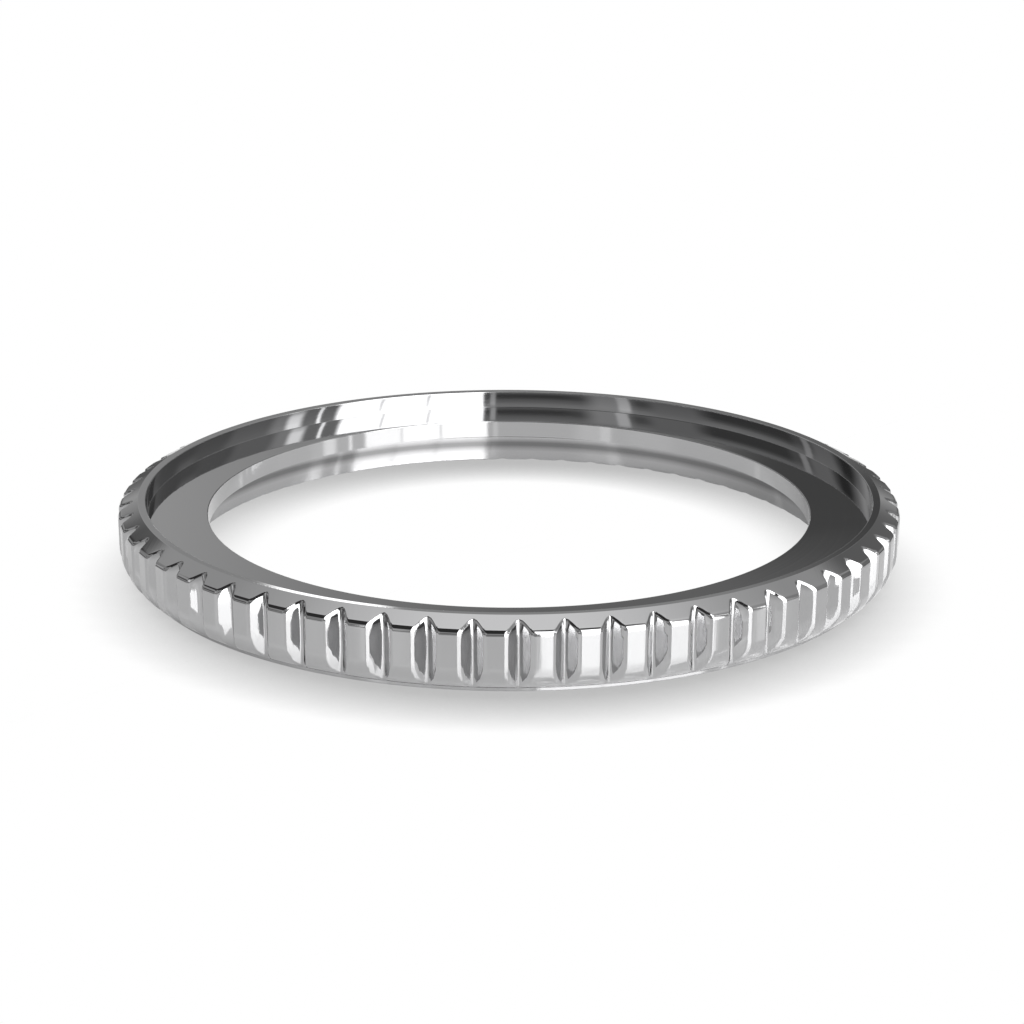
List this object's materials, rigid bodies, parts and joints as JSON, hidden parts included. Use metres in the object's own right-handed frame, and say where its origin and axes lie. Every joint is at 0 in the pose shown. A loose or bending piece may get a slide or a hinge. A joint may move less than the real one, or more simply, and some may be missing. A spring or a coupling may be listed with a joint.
{
  "type": "rotating watch bezel",
  "caption": "Polished steel diver's bezel ring with finger grooves and an open insert recess, turning in clicks on a carrier ring that presses on a watch case.",
  "frame": {"origin": "centre of the underside that sits on the watch case", "axes": "+Z along the turning axis, up out of the dial; a finger groove lies at -Y"},
  "size_m": [0.041, 0.041, 0.0038],
  "materials": {
    "polished_steel": "mirror-polished stainless steel",
    "turned_steel": "fine-turned stainless steel",
    "hardened_steel": "hardened and ground",
    "spring_steel": "drawn wire",
    "seal_rubber": "smooth moulded",
    "washer_plastic": "low-friction sheet"
  },
  "bodies": {
    "carrier": {"carrier_ring": "turned_steel", "snap_wire": "spring_steel", "seal_ring": "seal_rubber", "slide_washer": "washer_plastic", "detent_spring_1": "spring_steel", "pawl_spring_1": "spring_steel", "detent_spring_2": "spring_steel", "pawl_spring_2": "spring_steel", "detent_spring_3": "spring_steel", "pawl_spring_3": "spring_steel", "detent_spring_4": "spring_steel", "pawl_spring_4": "spring_steel"},
    "bezel": {"bezel_ring": "polished_steel", "ratchet_ring": "hardened_steel"},
    "ball_1": {"detent_ball_1": "hardened_steel"},
    "pawl_1": {"click_pawl_1": "hardened_steel"},
    "ball_2": {"detent_ball_2": "hardened_steel"},
    "pawl_2": {"click_pawl_2": "hardened_steel"},
    "ball_3": {"detent_ball_3": "hardened_steel"},
    "pawl_3": {"click_pawl_3": "hardened_steel"},
    "ball_4": {"detent_ball_4": "hardened_steel"},
    "pawl_4": {"click_pawl_4": "hardened_steel"}
  },
  "joints": [
    {"name": "bezel_turn", "type": "hinge", "parent": "carrier", "child": "bezel", "pos_m": [0, 0, 0], "axis": [0, 0, 1], "continuous": true},
    {"name": "ball_travel_1", "type": "slide", "parent": "carrier", "child": "ball_1", "axis": [0, 0, 1], "range_m": [-0.00016, 0], "stiffness_N_per_m": 50, "deforming": ["detent_spring_1"]},
    {"name": "pawl_travel_1", "type": "slide", "parent": "carrier", "child": "pawl_1", "axis": [0, 0, 1], "range_m": [-0.0002, 0], "stiffness_N_per_m": 50, "deforming": ["pawl_spring_1"]},
    {"name": "ball_travel_2", "type": "slide", "parent": "carrier", "child": "ball_2", "axis": [0, 0, 1], "range_m": [-0.00016, 0], "stiffness_N_per_m": 50, "deforming": ["detent_spring_2"]},
    {"name": "pawl_travel_2", "type": "slide", "parent": "carrier", "child": "pawl_2", "axis": [0, 0, 1], "range_m": [-0.0002, 0], "stiffness_N_per_m": 50, "deforming": ["pawl_spring_2"]},
    {"name": "ball_travel_3", "type": "slide", "parent": "carrier", "child": "ball_3", "axis": [0, 0, 1], "range_m": [-0.00016, 0], "stiffness_N_per_m": 50, "deforming": ["detent_spring_3"]},
    {"name": "pawl_travel_3", "type": "slide", "parent": "carrier", "child": "pawl_3", "axis": [0, 0, 1], "range_m": [-0.0002, 0], "stiffness_N_per_m": 50, "deforming": ["pawl_spring_3"]},
    {"name": "ball_travel_4", "type": "slide", "parent": "carrier", "child": "ball_4", "axis": [0, 0, 1], "range_m": [-0.00016, 0], "stiffness_N_per_m": 50, "deforming": ["detent_spring_4"]},
    {"name": "pawl_travel_4", "type": "slide", "parent": "carrier", "child": "pawl_4", "axis": [0, 0, 1], "range_m": [-0.0002, 0], "stiffness_N_per_m": 50, "deforming": ["pawl_spring_4"]}
  ]
}
